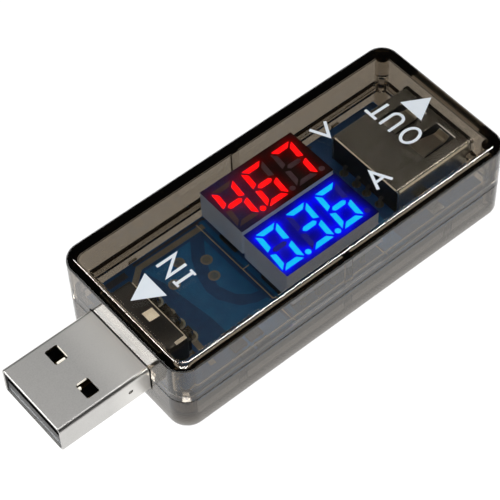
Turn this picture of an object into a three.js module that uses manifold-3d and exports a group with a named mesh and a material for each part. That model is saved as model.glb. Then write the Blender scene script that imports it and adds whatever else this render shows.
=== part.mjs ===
// USB power meter: a smoked plastic housing with a USB-A plug at one end, a USB-A socket at the
// other and two three-digit displays between them, on one printed circuit board.
// Lengths are in millimetres. +X runs from the plug to the socket, +Y across the displays, +Z up.
// Inside the assembly, x starts at the housing's front wall, y at its centre line and z at its
// underside; the assembly is then moved along X so that the origin is under the middle of the box.

import * as THREE from "three";
import { mergeVertices } from "three/addons/utils/BufferGeometryUtils.js";
import Module from "manifold-3d";

// ---- driving dimensions ----

const HOUSING = { length: 55, width: 24.4, height: 13, wall: 1.4, corner: 2.75 };
const RIM = { top: 1, bottom: 0.5 };
const SEAM = { z: 5.65, gap: 0.06, lipThickness: 0.6, lipHeight: 0.8, lipClearance: 0.05 };
const POST = { fromEnd: 2, fromCentre: 10.2, radius: 1 };
const POST_PIN = { radius: 0.45, top: 8, holeRadius: 0.52, holeTop: 8.3 };
const RIB = { length: 1.2, depth: 0.35, root: 0.3 };
const LOWER_RIBS = { x: [10, 27.5, 45], top: 5.2 };
const UPPER_RIBS = { x: [27.5], top: 10.5 };
const BOARD = { thickness: 1.2, top: 3.45, width: 20.8, endGap: 0.3, postRoom: 1.3, edgeRoom: 0.25 };
const BOARD_HOLE = { plugPin: 0.72, socketPin: 0.65, displayLead: 0.42 };
const STANDOFF = { radius: 1.25, positions: [[13, 8], [13, -8], [38, 8], [38, -8]] };

// USB-A plug and receptacle, standard sizes
const USB = { sheet: 0.3, centreZ: 5.4, contactY: [3.5, 1, -1, -3.5] };
const PLUG = { width: 12, height: 4.5, corner: 0.6, exposed: 13.7, inside: 6.2, wallGap: 0.08 };
const PLUG_WINDOW = { fromMouth: 5.4, length: 1.9, width: 2.5, centreY: 3.2 };
const PLUG_LANCE = { x: 4, length: 1.9, width: 1.8, drop: 0.7, sideGap: 0.2, root: 0.4 };
const PLUG_LEG = { x: 3.6, length: 1.4, bottom: 1.9 };
const PLUG_TONGUE = { recess: 0.3, top: 5.3, halfWidth: 5.5, blockFront: -1.5, blockRear: 6.9 };
const PLUG_CONTACT = { width: 1, thickness: 0.25, front: -12.7, pinX: 8.2, pinBottom: 1.9, room: 0.05 };
const SOCKET = { width: 13.1, height: 5.7, corner: 0.6, rear: 40.7, front: 54.7, wallGap: 0.1 };
const SOCKET_WING = { x: 44.6, length: 2, reach: 1.9, bottom: 3.5 };
const SOCKET_TONGUE = { front: 53.2, bottom: 5.55, top: 7.25, halfWidth: 5.55 };
const SOCKET_BLOCK = { rear: 41, front: 43.2, cornerRoom: 0.4 };
const GROOVE = { width: 1.3, ceiling: 6.45, front: 53 };
const SPRING_WINDOW = { end: 52.9, width: 3.5 };
const SPRING = { root: 47.2, length: 5.2, centreY: 2.75, thickness: 0.25, rootWidth: 2.9, tipWidth: 1.7 };
const SPRING_BEND = { start: 0.5, contact: 4.1, curl: 4.6, depth: 0.62, curlDepth: 0.6, tipDepth: 0.1 };
const BLADE = { width: 1, thickness: 0.2, root: 43.9, rootZ: 5.75 };
const BLADE_BEND = { contact: 6.4, curl: 7.4, tip: 8.7, depth: 0.55, curlDepth: 0.5, tipDepth: 0.05 };
const TERMINAL = { pinX: 40.25, bendZ: 4.65, straight: 1, slopeEnd: 2.4, bottom: 1.9, boardEdge: 41.9 };

// Three-digit LED display modules
const DISPLAY = { length: 15.4, width: 8.5, top: 11.05, height: 4.6, wall: 0.4, face: 0.7, corner: 0.25 };
const MODULES = [
  { name: "volt_display", x: 27.75, y: 4.5 },
  { name: "amp_display", x: 27.55, y: -4.45 },
];
const DIGIT = { pitch: 4.95, firstX: -5.4, y: 0.12, width: 2.95, height: 6.25 };
const SEGMENT = { slant: 0.115, stroke: 0.72, gap: 0.12 };
const POINT = { x: 2.02, y: -3, radius: 0.42 };
const LEAD = { size: 0.45, pitch: 2.54, perRow: 5, rowY: 3.3, bottom: 1.9 };
const CIRCUIT = { top: 7.86, bottom: 6.9, fillBottom: 7.9 };
const GUIDE_ROOT = 0.2;

// Components on the board: length, width and height
const CHIP = { x: 25, length: 8.6, width: 3.9, height: 1.5, leads: 7, pitch: 1.2, span: 5.6 };
const REGULATOR = { x: 32.2, length: 4.4, width: 2.4, height: 1.4, leadPitch: 1.5, leadWidth: 0.45 };
const REGULATOR_TAB = { length: 1.8, reach: 0.9, thickness: 0.35 };
const SHUNT = { x: 24, length: 6.4, width: 3.2, height: 0.6 };
const CAPACITOR = { x: 33.5, fromCentre: 1.1, length: 3.2, width: 1.6, height: 1.2 };
const RESISTOR = { x: [12, 14.6], y: [-7.4, -9.2], length: 2, width: 1.25, height: 0.5 };
const END_CAP = { share: 0.16, proud: 0.05 };
const GULL_WING = { width: 0.4, thickness: 0.2, foot: 0.5, kneeShare: 0.45, bodyLift: 0.15 };

// Gaps and overlaps between solids
const CLEAR = 0.03;
const MERGE = 0.2;
const BEYOND = 1;

// ---- solids ----

const wasm = await Module();
wasm.setup();

// A closed three.js geometry as a manifold solid.
function solidOf(geometry) {
  const bare = geometry.index ? geometry.toNonIndexed() : geometry.clone();
  bare.deleteAttribute("normal");
  bare.deleteAttribute("uv");
  const merged = mergeVertices(bare, 1e-4);
  return new wasm.Manifold(
    new wasm.Mesh({
      numProp: 3,
      vertProperties: merged.attributes.position.array,
      triVerts: new Uint32Array(merged.index.array),
    }),
  );
}

// A manifold solid as a three.js geometry.
function geometryOf(solid) {
  const { vertProperties, triVerts } = solid.getMesh();
  const geometry = new THREE.BufferGeometry();
  geometry.setAttribute("position", new THREE.BufferAttribute(vertProperties, 3));
  geometry.setIndex(new THREE.BufferAttribute(triVerts, 1));
  return geometry;
}

// A box between two values on each axis.
function block(x0, x1, y0, y1, z0, z1) {
  const box = new THREE.BoxGeometry(x1 - x0, y1 - y0, z1 - z0);
  return solidOf(box.translate((x0 + x1) / 2, (y0 + y1) / 2, (z0 + z1) / 2));
}

// An upright cylinder.
function rod(x, y, radius, z0, z1, sides = 16) {
  const cylinder = new THREE.CylinderGeometry(radius, radius, z1 - z0, sides).rotateX(Math.PI / 2);
  return solidOf(cylinder.translate(x, y, (z0 + z1) / 2));
}

// An outline in X and Y, raised from z0 to z1.
function slab(outline, z0, z1) {
  const settings = { depth: z1 - z0, bevelEnabled: false, curveSegments: 6 };
  return solidOf(new THREE.ExtrudeGeometry(outline, settings).translate(0, 0, z0));
}

// An outline in Y and Z, swept from x0 to x1.
function bar(outline, x0, x1) {
  const settings = { depth: x1 - x0, bevelEnabled: false, curveSegments: 4 };
  const turn = new THREE.Matrix4().makeBasis(
    new THREE.Vector3(0, 1, 0),
    new THREE.Vector3(0, 0, 1),
    new THREE.Vector3(1, 0, 0),
  );
  return solidOf(new THREE.ExtrudeGeometry(outline, settings).applyMatrix4(turn).translate(x0, 0, 0));
}

// A rectangle with round corners, centred on (x, y).
function roundedRectangle(x, y, width, height, radius) {
  const [w, h] = [width / 2, height / 2];
  const outline = new THREE.Shape();
  outline.moveTo(x - w + radius, y - h);
  outline.absarc(x + w - radius, y - h + radius, radius, -Math.PI / 2, 0);
  outline.absarc(x + w - radius, y + h - radius, radius, 0, Math.PI / 2);
  outline.absarc(x - w + radius, y + h - radius, radius, Math.PI / 2, Math.PI);
  outline.absarc(x - w + radius, y - h + radius, radius, Math.PI, Math.PI * 1.5);
  return outline;
}

// A sheet-metal strip: a side view given as [x, z] points along its middle, as wide as y0 to y1.
function strip(points, thickness, y0, y1) {
  const middle = points.map(([x, z]) => new THREE.Vector2(x, z));
  const side = (sign) =>
    middle.map((p, i) => {
      const before = middle[Math.max(i - 1, 0)];
      const after = middle[Math.min(i + 1, middle.length - 1)];
      const into = p.clone().sub(before);
      const out = after.clone().sub(p);
      const a = (i === 0 ? out : into).normalize();
      const b = (i === middle.length - 1 ? a : out).clone().normalize();
      const bisector = new THREE.Vector2(-a.y - b.y, a.x + b.x).normalize();
      const reach = thickness / 2 / bisector.dot(new THREE.Vector2(-a.y, a.x));
      return p.clone().addScaledVector(bisector, sign * reach);
    });
  const outline = new THREE.Shape([...side(1), ...side(-1).reverse()]);
  const settings = { depth: y1 - y0, bevelEnabled: false };
  const upright = new THREE.ExtrudeGeometry(outline, settings).rotateX(Math.PI / 2);
  return solidOf(upright.translate(0, y1, 0));
}

function union(solids) {
  return solids.reduce((all, next) => all.add(next));
}

function cut(solid, tools) {
  return tools.reduce((left, tool) => left.subtract(tool), solid);
}

// ---- housing ----

const cavityTop = HOUSING.height - HOUSING.wall;
const middleX = HOUSING.length / 2;
const insideY = HOUSING.width / 2 - HOUSING.wall;

// The housing's outline grown (or shrunk) evenly by offset.
function housingOutline(offset) {
  const { length, width, corner } = HOUSING;
  return roundedRectangle(middleX, 0, length + 2 * offset, width + 2 * offset, corner + offset);
}

// The housing's outer form from z0 to z1, with both rims rounded.
function roundedHousing(z0, z1, round) {
  const settings = {
    depth: z1 - z0 - 2 * round,
    bevelThickness: round,
    bevelSize: round,
    bevelOffset: -round,
    bevelSegments: 3,
    curveSegments: 6,
  };
  return solidOf(new THREE.ExtrudeGeometry(housingOutline(0), settings).translate(0, 0, z0 + round));
}

// Places in a pair of corners, at one end of the housing.
function cornerPair(x) {
  return [POST.fromCentre, -POST.fromCentre].map((y) => [x, y]);
}

const pinnedCorners = cornerPair(HOUSING.length - POST.fromEnd);
const allCorners = [...cornerPair(POST.fromEnd), ...pinnedCorners];

function wallRibs(places, z0, z1) {
  const inner = insideY - RIB.depth;
  return places.flatMap((x) => {
    const [x0, x1] = [x - RIB.length / 2, x + RIB.length / 2];
    const root = insideY + RIB.root;
    return [block(x0, x1, inner, root, z0, z1), block(x0, x1, -root, -inner, z0, z1)];
  });
}

// The opening that a plug's or socket's shell needs in an end wall.
function connectorOpening({ width, height, corner, wallGap }, x0, x1) {
  return bar(roundedRectangle(0, USB.centreZ, width + 2 * wallGap, height + 2 * wallGap, corner), x0, x1);
}

const plugOpening = connectorOpening(PLUG, -BEYOND, HOUSING.wall + BEYOND);
const socketOpening = connectorOpening(
  SOCKET,
  HOUSING.length - HOUSING.wall - BEYOND,
  HOUSING.length + BEYOND,
);

// A tall box that keeps what lies between two heights.
function between(z0, z1) {
  const half = HOUSING.width;
  return block(-BEYOND, HOUSING.length + BEYOND, -half, half, z0, z1);
}

function bottomShell() {
  const top = SEAM.z - SEAM.gap / 2;
  const lipTop = SEAM.z + SEAM.lipHeight;
  const floor = HOUSING.wall;
  const outer = roundedHousing(0, HOUSING.height, RIM.bottom).intersect(between(-BEYOND, top));
  const lip = slab(housingOutline(SEAM.lipThickness - floor), floor, lipTop);
  const tray = outer.add(lip).subtract(slab(housingOutline(-floor), floor, lipTop + BEYOND));
  const posts = allCorners.map(([x, y]) => rod(x, y, POST.radius, floor - MERGE, top));
  const pins = pinnedCorners.map(([x, y]) => rod(x, y, POST_PIN.radius, floor, POST_PIN.top));
  const boardBottom = BOARD.top - BOARD.thickness;
  const standoffs = STANDOFF.positions.map(([x, y]) =>
    rod(x, y, STANDOFF.radius, floor - MERGE, boardBottom - CLEAR),
  );
  const ribs = wallRibs(LOWER_RIBS.x, floor - MERGE, LOWER_RIBS.top);
  return cut(union([tray, ...posts, ...pins, ...standoffs, ...ribs]), [plugOpening, socketOpening]);
}

function topShell() {
  const bottom = SEAM.z + SEAM.gap / 2;
  const low = bottom - BEYOND;
  const outer = roundedHousing(0, HOUSING.height, RIM.top).intersect(
    between(bottom, HOUSING.height + BEYOND),
  );
  const cover = outer.subtract(slab(housingOutline(-HOUSING.wall), low, cavityTop));
  const { lipThickness, lipHeight, lipClearance } = SEAM;
  const rebateTop = SEAM.z + lipHeight + lipClearance;
  const rebateOutside = housingOutline(lipThickness + lipClearance - HOUSING.wall);
  const rebateInside = housingOutline(-lipClearance - HOUSING.wall);
  const rebate = slab(rebateOutside, low, rebateTop).subtract(
    slab(rebateInside, low - BEYOND, rebateTop + BEYOND),
  );
  const bosses = pinnedCorners.map(([x, y]) => rod(x, y, POST.radius, bottom, cavityTop + MERGE));
  const holes = pinnedCorners.map(([x, y]) => rod(x, y, POST_PIN.holeRadius, low, POST_PIN.holeTop));
  const ribs = wallRibs(UPPER_RIBS.x, rebateTop, UPPER_RIBS.top);
  return cut(union([cover, ...bosses, ...ribs]), [...holes, rebate, plugOpening, socketOpening]);
}

// ---- board ----

function mainBoard() {
  const [x0, x1] = [HOUSING.wall + BOARD.endGap, HOUSING.length - HOUSING.wall - BOARD.endGap];
  const [z0, z1] = [BOARD.top - BOARD.thickness, BOARD.top];
  const half = BOARD.width / 2;
  const sheet = block(x0, x1, -half, half, z0, z1);
  const [low, high] = [z0 - BEYOND, z1 + BEYOND];
  const corners = allCorners.map(([x, y]) => {
    const room = BOARD.postRoom;
    return block(
      x < middleX ? x0 - BEYOND : x - room,
      x < middleX ? x + room : x1 + BEYOND,
      y > 0 ? y - room : -half - BEYOND,
      y > 0 ? half + BEYOND : y + room,
      low,
      high,
    );
  });
  const plugY = PLUG.width / 2 + BOARD.edgeRoom;
  const socketY = SOCKET.width / 2 + BOARD.edgeRoom;
  const notches = [
    block(x0 - BEYOND, PLUG_TONGUE.blockRear + BOARD.edgeRoom, -plugY, plugY, low, high),
    block(TERMINAL.boardEdge, x1 + BEYOND, -socketY, socketY, low, high),
  ];
  const hole = (x, y, radius) => rod(x, y, radius, low, high, 10);
  const pinHoles = USB.contactY.flatMap((y) => [
    hole(PLUG_CONTACT.pinX, y, BOARD_HOLE.plugPin),
    hole(TERMINAL.pinX, y, BOARD_HOLE.socketPin),
  ]);
  const leadHoles = MODULES.flatMap((module) =>
    leadPlaces(module).map(([x, y]) => hole(x, y, BOARD_HOLE.displayLead)),
  );
  return cut(sheet, [...corners, ...notches, ...pinHoles, ...leadHoles]);
}

// ---- plug ----

function plugShell() {
  const { width, height, corner, exposed, inside } = PLUG;
  const { sheet, centreZ } = USB;
  const outline = roundedRectangle(0, centreZ, width, height, corner);
  outline.holes.push(roundedRectangle(0, centreZ, width - 2 * sheet, height - 2 * sheet, corner - sheet));
  const [z0, z1] = [centreZ - height / 2, centreZ + height / 2];
  const windowX = PLUG_WINDOW.fromMouth - exposed;
  const windows = [PLUG_WINDOW.centreY, -PLUG_WINDOW.centreY].map((y) =>
    block(
      windowX,
      windowX + PLUG_WINDOW.length,
      y - PLUG_WINDOW.width / 2,
      y + PLUG_WINDOW.width / 2,
      z0 - BEYOND,
      z1 + BEYOND,
    ),
  );
  const { x: lanceX, drop, sideGap, root } = PLUG_LANCE;
  const lanceHalf = PLUG_LANCE.width / 2;
  const lanceEnd = lanceX + PLUG_LANCE.length;
  const middleZ = z1 - sheet / 2;
  const lanceHole = block(lanceX, lanceEnd, -lanceHalf, lanceHalf, centreZ + 1, z1 + BEYOND);
  const lance = strip(
    [
      [lanceX - root, middleZ],
      [lanceX + sheet / 2, middleZ],
      [lanceEnd - sheet, middleZ - drop],
    ],
    sheet - CLEAR,
    sideGap - lanceHalf,
    lanceHalf - sideGap,
  );
  const legs = [1, -1].map((side) => {
    const [y0, y1] = [side * (width / 2 - sheet), (side * width) / 2].sort((a, b) => a - b);
    return block(PLUG_LEG.x, PLUG_LEG.x + PLUG_LEG.length, y0, y1, PLUG_LEG.bottom, centreZ);
  });
  return union([cut(bar(outline, -exposed, inside), [...windows, lanceHole]), lance, ...legs]);
}

function plugInsulator() {
  const { recess, top, halfWidth, blockFront, blockRear } = PLUG_TONGUE;
  const bottom = USB.centreZ - PLUG.height / 2 + USB.sheet + CLEAR;
  const blockTop = USB.centreZ + PLUG.height / 2 - 2 * USB.sheet - PLUG_LANCE.drop - CLEAR;
  const tongue = block(recess - PLUG.exposed, blockFront + MERGE, -halfWidth, halfWidth, bottom, top);
  const rear = block(blockFront, blockRear, -halfWidth, halfWidth, bottom, blockTop);
  const grooves = USB.contactY.map((y) => {
    const { width, thickness, front, room } = PLUG_CONTACT;
    const half = width / 2 + room;
    return block(front - room, blockRear + BEYOND, y - half, y + half, top - thickness - room, top + room);
  });
  return cut(tongue.add(rear), grooves);
}

function plugContact(y) {
  const z = PLUG_TONGUE.top - PLUG_CONTACT.thickness / 2;
  const half = PLUG_CONTACT.width / 2;
  const blade = strip(
    [
      [PLUG_CONTACT.front, z],
      [PLUG_CONTACT.pinX, z],
      [PLUG_CONTACT.pinX, BOARD.top + MERGE],
    ],
    PLUG_CONTACT.thickness,
    y - half,
    y + half,
  );
  const [x, pin] = [PLUG_CONTACT.pinX, half / 2];
  const pinHalf = PLUG_CONTACT.thickness / 2;
  const pinTop = BOARD.top + 2 * MERGE;
  return blade.add(
    block(x - pinHalf, x + pinHalf, y - pin, y + pin, PLUG_CONTACT.pinBottom, pinTop),
  );
}

// ---- socket ----

const socketTop = USB.centreZ + SOCKET.height / 2;
const socketBottom = USB.centreZ - SOCKET.height / 2;

function socketShell() {
  const { width, height, corner, rear, front } = SOCKET;
  const { sheet, centreZ } = USB;
  const outline = roundedRectangle(0, centreZ, width, height, corner);
  outline.holes.push(roundedRectangle(0, centreZ, width - 2 * sheet, height - 2 * sheet, corner - sheet));
  const half = SPRING_WINDOW.width / 2;
  const [low, high] = [socketBottom - BEYOND, socketTop + BEYOND];
  const windows = [SPRING.centreY, -SPRING.centreY].map((y) =>
    block(SPRING.root, SPRING_WINDOW.end, y - half, y + half, low, high),
  );
  const roomEnd = TERMINAL.boardEdge + BOARD.edgeRoom;
  const boardRoom = block(rear - BEYOND, roomEnd, -width, width, low, BOARD.top + CLEAR);
  const { x: wingX, length: wingLength, reach, bottom } = SOCKET_WING;
  const wings = [1, -1].map((side) => {
    const ends = [side * (width / 2 - sheet), side * (width / 2 + reach)];
    return block(wingX, wingX + wingLength, Math.min(...ends), Math.max(...ends), bottom, bottom + sheet);
  });
  return union([cut(bar(outline, rear, front), [...windows, boardRoom]), ...wings]);
}

function socketInsulator() {
  const { front, bottom, top, halfWidth } = SOCKET_TONGUE;
  const { rear, front: blockFront, cornerRoom } = SOCKET_BLOCK;
  const blockTop = socketTop - cornerRoom;
  const blockHalf = SOCKET.width / 2 - cornerRoom;
  const body = block(rear, blockFront, -blockHalf, blockHalf, BOARD.top + CLEAR, blockTop);
  const tongue = block(blockFront - MERGE, front, -halfWidth, halfWidth, bottom, top);
  const low = BOARD.top - BEYOND;
  const grooves = USB.contactY.flatMap((y) => {
    const half = GROOVE.width / 2;
    const terminalTop = BLADE.rootZ + BLADE.thickness;
    return [
      block(blockFront - MERGE, GROOVE.front, y - half, y + half, low, GROOVE.ceiling),
      block(rear - BEYOND, blockFront + BEYOND, y - half, y + half, low, terminalTop),
    ];
  });
  return cut(body.add(tongue), grooves);
}

function socketTerminal(y) {
  const half = BLADE.width / 2;
  const { pinX, bendZ, straight, slopeEnd, bottom } = TERMINAL;
  const arm = strip(
    [
      [BLADE.root - CLEAR, BLADE.rootZ],
      [BLADE.root - straight, BLADE.rootZ],
      [BLADE.root - slopeEnd, bendZ],
      [pinX, bendZ],
      [pinX, BOARD.top + MERGE],
    ],
    BLADE.thickness,
    y - half,
    y + half,
  );
  const [pin, pinHalf] = [half / 2, BLADE.thickness / 2];
  const pinTop = BOARD.top + 2 * MERGE;
  return arm.add(block(pinX - pinHalf, pinX + pinHalf, y - pin, y + pin, bottom, pinTop));
}

// A contact blade in its free state: it slopes away from the tongue and curls back at its tip.
function socketContact(y) {
  const half = BLADE.width / 2;
  const { root, rootZ } = BLADE;
  const { contact, curl, tip, depth, curlDepth, tipDepth } = BLADE_BEND;
  const points = [
    [root + CLEAR, rootZ],
    [root + contact, rootZ - depth],
    [root + curl, rootZ - curlDepth],
    [root + tip, rootZ - tipDepth],
  ];
  return strip(points, BLADE.thickness, y - half, y + half);
}

// A retention spring in its free state: a tapered tongue bent inwards, with its tip curled out.
// facing is 1 in the shell's upper wall and -1 in its lower wall.
function retentionSpring(y, facing) {
  const outer = facing > 0 ? socketTop : socketBottom;
  const z = (depth) => outer - facing * (USB.sheet / 2 + depth);
  const { root, length, thickness, rootWidth, tipWidth } = SPRING;
  const { start, contact, curl, depth, curlDepth, tipDepth } = SPRING_BEND;
  const side = strip(
    [
      [root + CLEAR, z(0)],
      [root + start, z(0)],
      [root + contact, z(depth)],
      [root + curl, z(curlDepth)],
      [root + length, z(tipDepth)],
    ],
    thickness,
    y - rootWidth / 2,
    y + rootWidth / 2,
  );
  const planEnd = root + length + thickness;
  const plan = new THREE.Shape([
    new THREE.Vector2(root, y - rootWidth / 2),
    new THREE.Vector2(planEnd, y - tipWidth / 2),
    new THREE.Vector2(planEnd, y + tipWidth / 2),
    new THREE.Vector2(root, y + rootWidth / 2),
  ]);
  return side.intersect(slab(plan, 0, HOUSING.height));
}

// ---- displays ----

function leadPlaces(module) {
  const places = [];
  for (const row of [LEAD.rowY, -LEAD.rowY]) {
    for (let i = 0; i < LEAD.perRow; i += 1) {
      places.push([module.x + (i - (LEAD.perRow - 1) / 2) * LEAD.pitch, module.y + row]);
    }
  }
  return places;
}

// One display segment, a bar with pointed ends, centred on (x, y) of a digit and slanted with it.
function segmentOutline(originX, originY, x, y, length, upright, grow) {
  const [half, stroke] = [length / 2 + grow, SEGMENT.stroke / 2 + grow];
  const corners = [
    [-half, 0],
    [-half + stroke, -stroke],
    [half - stroke, -stroke],
    [half, 0],
    [half - stroke, stroke],
    [-half + stroke, stroke],
  ];
  return new THREE.Shape(
    corners.map(([along, across]) => {
      const px = x + (upright ? -across : along);
      const py = y + (upright ? along : across);
      return new THREE.Vector2(originX + px + SEGMENT.slant * py, originY + py);
    }),
  );
}

// The outlines of a module's 21 segments and 3 decimal points, each grown by grow.
function displayOutlines(module, grow) {
  const [w, h] = [DIGIT.width / 2, DIGIT.height / 2];
  const across = DIGIT.width - 2 * SEGMENT.gap;
  const down = h - 2 * SEGMENT.gap;
  const segments = [
    [0, h, across, false],
    [w, h / 2, down, true],
    [w, -h / 2, down, true],
    [0, -h, across, false],
    [-w, -h / 2, down, true],
    [-w, h / 2, down, true],
    [0, 0, across, false],
  ];
  const originY = module.y + DIGIT.y;
  const outlines = [];
  for (let digit = 0; digit < 3; digit += 1) {
    const originX = module.x + DIGIT.firstX + digit * DIGIT.pitch;
    for (const [x, y, length, upright] of segments) {
      outlines.push(segmentOutline(originX, originY, x, y, length, upright, grow));
    }
    const dot = new THREE.Shape();
    dot.absarc(originX + POINT.x, originY + POINT.y, POINT.radius + grow, 0, Math.PI * 2);
    outlines.push(dot);
  }
  return outlines;
}

function displayCase(module) {
  const { length, width, top, height, wall, face, corner } = DISPLAY;
  const body = slab(roundedRectangle(module.x, module.y, length, width, corner), top - height, top);
  const cavity = block(
    module.x - length / 2 + wall,
    module.x + length / 2 - wall,
    module.y - width / 2 + wall,
    module.y + width / 2 - wall,
    top - height - BEYOND,
    top - face,
  );
  const windows = displayOutlines(module, 0).map((outline) =>
    slab(outline, top - face - GUIDE_ROOT - CLEAR, top + BEYOND),
  );
  return cut(body, [cavity, ...windows]);
}

// The cast resin behind the face, with a raised light guide in each window of the case.
function displayDiffuser(module) {
  const { length, width, top, wall, face } = DISPLAY;
  const [halfX, halfY] = [length / 2 - wall - CLEAR, width / 2 - wall - CLEAR];
  const { x, y } = module;
  const fill = block(x - halfX, x + halfX, y - halfY, y + halfY, CIRCUIT.fillBottom, top - face - CLEAR);
  const guides = displayOutlines(module, -CLEAR).map((outline) =>
    slab(outline, top - face - GUIDE_ROOT, top - CLEAR),
  );
  return union([fill, ...guides]);
}

function displayCircuit(module) {
  const { length, width, wall } = DISPLAY;
  const [halfX, halfY] = [length / 2 - wall - CLEAR, width / 2 - wall - CLEAR];
  const { x, y } = module;
  const board = block(x - halfX, x + halfX, y - halfY, y + halfY, CIRCUIT.bottom, CIRCUIT.top);
  const half = LEAD.size / 2;
  const leads = leadPlaces(module).map(([px, py]) =>
    block(px - half, px + half, py - half, py + half, LEAD.bottom, CIRCUIT.bottom + MERGE),
  );
  return union([board, ...leads]);
}

// ---- components on the board ----

// A box that stands on the board with its middle at (x, y), raised by lift.
function onBoard(x, y, length, width, height, lift = 0) {
  const z = BOARD.top + CLEAR + lift;
  return block(x - length / 2, x + length / 2, y - width / 2, y + width / 2, z, z + height);
}

// A chip resistor or capacitor: a body between two slightly larger end caps.
function chipPart(x, y, { length, width, height }) {
  const { share, proud } = END_CAP;
  const cap = length * share;
  const body = onBoard(x, y, length - 2 * proud, width - 2 * proud, height - 2 * proud, proud);
  const ends = [1, -1].map((side) => onBoard(x + (side * (length - cap)) / 2, y, cap, width, height));
  return union([body, ...ends]);
}

// A small-outline chip with gull-wing leads along both long sides.
function outlineChip(x, y, { length, width, height, leads, pitch, span }) {
  const { width: legWidth, thickness, foot, kneeShare, bodyLift } = GULL_WING;
  const kneeZ = height * kneeShare;
  const knee = span / 2 - foot;
  const legs = [];
  for (let i = 0; i < leads; i += 1) {
    const px = x + (i - (leads - 1) / 2) * pitch;
    for (const side of [1, -1]) {
      const part = (y0, y1, lift, tall) =>
        onBoard(px, y + (side * (y0 + y1)) / 2, legWidth, y1 - y0, tall, lift);
      legs.push(part(width / 2 - MERGE, knee, kneeZ, thickness));
      legs.push(part(knee - thickness, knee, 0, kneeZ + thickness));
      legs.push(part(knee - thickness, span / 2, 0, thickness));
    }
  }
  return union([onBoard(x, y, length, width, height - bodyLift, bodyLift), ...legs]);
}

// A three-lead regulator with a wide heat tab on the far side.
function regulator(x, y, { length, width, height, leadPitch, leadWidth }) {
  const body = onBoard(x, y, length, width, height);
  const { length: tabLength, reach, thickness } = REGULATOR_TAB;
  const outY = (width + reach) / 2;
  const tab = onBoard(x, y + outY - MERGE, tabLength, reach + MERGE, thickness);
  const leads = [-1, 0, 1].map((i) =>
    onBoard(x + i * leadPitch, y - outY + MERGE, leadWidth, reach + MERGE, thickness),
  );
  return union([body, tab, ...leads]);
}

// ---- assembly ----

const finish = {
  smoked: { color: 0x5d5952, roughness: 0.08, metalness: 0, transparent: true, opacity: 0.45 },
  board: { color: 0x17406e, roughness: 0.35, metalness: 0 },
  plugSteel: { color: 0xbab7ae, roughness: 0.32, metalness: 1 },
  socketSteel: { color: 0x9a968c, roughness: 0.3, metalness: 1 },
  paleResin: { color: 0xc9cbcc, roughness: 0.5, metalness: 0 },
  blackResin: { color: 0x14161a, roughness: 0.5, metalness: 0 },
  gold: { color: 0xc9a35a, roughness: 0.3, metalness: 1 },
  tin: { color: 0xb9b4a6, roughness: 0.35, metalness: 1 },
  white: { color: 0xc8c5bd, roughness: 0.45, metalness: 0 },
  ledRed: { color: 0xff0a12, roughness: 0.4, metalness: 0 },
  ledBlue: { color: 0x0ab4ff, roughness: 0.4, metalness: 0 },
  ceramic: { color: 0x8d7a5c, roughness: 0.6, metalness: 0 },
};

const assembly = new THREE.Group();
assembly.position.x = (PLUG.exposed - HOUSING.length) / 2;

function place(name, solid, look) {
  const mesh = new THREE.Mesh(geometryOf(solid), new THREE.MeshStandardMaterial(look));
  mesh.name = name;
  assembly.add(mesh);
}

place("bottom_shell", bottomShell(), finish.smoked);
place("top_shell", topShell(), finish.smoked);
place("main_board", mainBoard(), finish.board);

place("plug_shell", plugShell(), finish.plugSteel);
place("plug_insulator", plugInsulator(), finish.paleResin);
USB.contactY.forEach((y, i) => place(`plug_contact_${i + 1}`, plugContact(y), finish.gold));

place("socket_shell", socketShell(), finish.socketSteel);
place("socket_insulator", socketInsulator(), finish.blackResin);
USB.contactY.forEach((y, i) => {
  place(`socket_terminal_${i + 1}`, socketTerminal(y), finish.tin);
  place(`socket_contact_${i + 1}`, socketContact(y), finish.gold);
});
const springs = [
  ["socket_spring_top_left", SPRING.centreY, 1],
  ["socket_spring_top_right", -SPRING.centreY, 1],
  ["socket_spring_bottom_left", SPRING.centreY, -1],
  ["socket_spring_bottom_right", -SPRING.centreY, -1],
];
springs.forEach(([name, y, facing]) => place(name, retentionSpring(y, facing), finish.socketSteel));

MODULES.forEach((module) => {
  place(`${module.name}_case`, displayCase(module), finish.white);
  const glow = module.name === "volt_display" ? finish.ledRed : finish.ledBlue;
  place(`${module.name}_diffuser`, displayDiffuser(module), glow);
  place(`${module.name}_circuit`, displayCircuit(module), finish.blackResin);
});

const [upperY, lowerY] = MODULES.map((module) => module.y);
place("controller_chip", outlineChip(CHIP.x, lowerY, CHIP), finish.blackResin);
place("voltage_regulator", regulator(REGULATOR.x, upperY, REGULATOR), finish.blackResin);
place("shunt_resistor", chipPart(SHUNT.x, upperY, SHUNT), finish.ceramic);
const [inputY, outputY] = [lowerY + CAPACITOR.fromCentre, lowerY - CAPACITOR.fromCentre];
place("input_capacitor", chipPart(CAPACITOR.x, inputY, CAPACITOR), finish.ceramic);
place("output_capacitor", chipPart(CAPACITOR.x, outputY, CAPACITOR), finish.ceramic);
const resistorPlaces = RESISTOR.y.flatMap((y) => RESISTOR.x.map((x) => [x, y]));
resistorPlaces.forEach(([x, y], i) => {
  place(`resistor_${i + 1}`, chipPart(x, y, RESISTOR), finish.blackResin);
});

export default assembly;
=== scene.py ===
"""A USB power meter: smoked housing, plug, socket and two lit displays on a blue board."""

from math import cos, exp, pi, radians, sin, sqrt

import bmesh
import bpy
from mathutils import Matrix, Vector

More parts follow.
